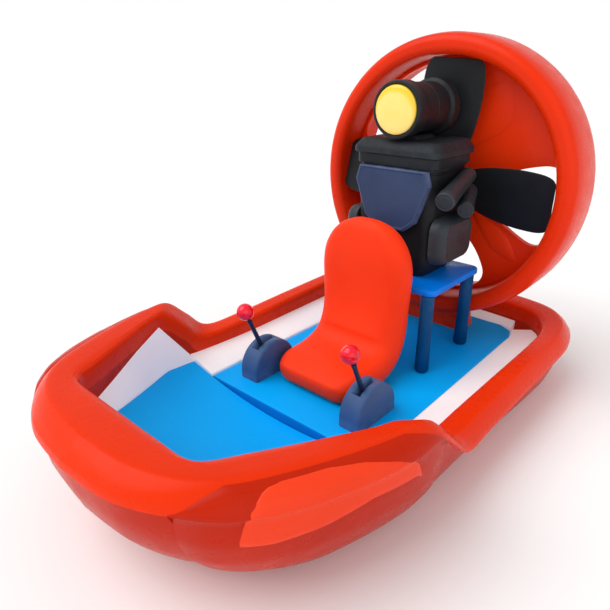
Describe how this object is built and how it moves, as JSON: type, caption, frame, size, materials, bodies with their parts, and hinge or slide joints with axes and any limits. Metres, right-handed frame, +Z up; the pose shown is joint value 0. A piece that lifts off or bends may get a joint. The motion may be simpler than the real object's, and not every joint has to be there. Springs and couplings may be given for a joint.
{
  "type": "airboat",
  "caption": "Small one-seat airboat: round-bowed hull with a raised bow coaming, bucket seat, two control levers, engine on a legged table, ducted propeller.",
  "frame": {"origin": "bottom centre of the boat's bounding box, on the ground plane under the flat hull bottom", "axes": "+Z up, -Y toward the bow, +Y toward the stern and the duct, +X to port"},
  "size_m": [1.739, 2.92, 1.915],
  "materials": {
    "hull_red": "gloss",
    "deck_blue": "satin",
    "liner_white": "satin",
    "seat_orange": "satin",
    "table_blue": "satin",
    "leg_navy": "satin",
    "box_slate": "satin",
    "stick_navy": "satin",
    "knob_red": "gloss",
    "engine_black": "satin",
    "panel_blue_grey": "satin",
    "lens_yellow": "gloss",
    "blade_black": "satin"
  },
  "bodies": {
    "boat": {"bow_cheek_port": "hull_red", "bow_cheek_starboard": "hull_red", "bow_floor": "deck_blue", "coaming_rim": "hull_red", "duct_foot": "hull_red", "duct_ring": "hull_red", "engine_block": "engine_black", "engine_cylinder_port_front": "engine_black", "engine_cylinder_port_rear": "engine_black", "engine_front_panel": "panel_blue_grey", "engine_side_cover_port": "engine_black", "engine_side_cover_starboard": "engine_black", "engine_top_cover": "engine_black", "hull_lower": "hull_red", "lamp_barrel": "engine_black", "lamp_bracket": "engine_black", "lamp_lens": "lens_yellow", "lever_box_port": "box_slate", "lever_box_starboard": "box_slate", "liner_bow_port": "liner_white", "liner_bow_starboard": "liner_white", "liner_side_port": "liner_white", "liner_side_starboard": "liner_white", "liner_stern": "liner_white", "rear_deck": "deck_blue", "seat_bucket": "seat_orange", "stator": "hull_red", "table_leg_port_front": "leg_navy", "table_leg_port_rear": "leg_navy", "table_leg_starboard_front": "leg_navy", "table_leg_starboard_rear": "leg_navy", "table_top": "table_blue"},
    "propeller": {"propeller_blade_1": "blade_black", "propeller_blade_2": "blade_black", "propeller_blade_3": "blade_black", "propeller_blade_4": "blade_black", "propeller_hub": "blade_black"},
    "lever_port": {"lever_stick_port": "stick_navy", "lever_knob_port": "knob_red"},
    "lever_starboard": {"lever_stick_starboard": "stick_navy", "lever_knob_starboard": "knob_red"}
  },
  "joints": [
    {"name": "propeller_spin", "type": "hinge", "parent": "boat", "child": "propeller", "pos_m": [0, 0.93, 1.115], "axis": [0, 1, 0], "continuous": true},
    {"name": "lever_port_swing", "type": "hinge", "parent": "boat", "child": "lever_port", "pos_m": [0.337, -0.18, 0.264], "axis": [1, 0, 0], "range_deg": [-40, 6]},
    {"name": "lever_starboard_swing", "type": "hinge", "parent": "boat", "child": "lever_starboard", "pos_m": [-0.337, -0.18, 0.264], "axis": [1, 0, 0], "range_deg": [-40, 6]}
  ]
}
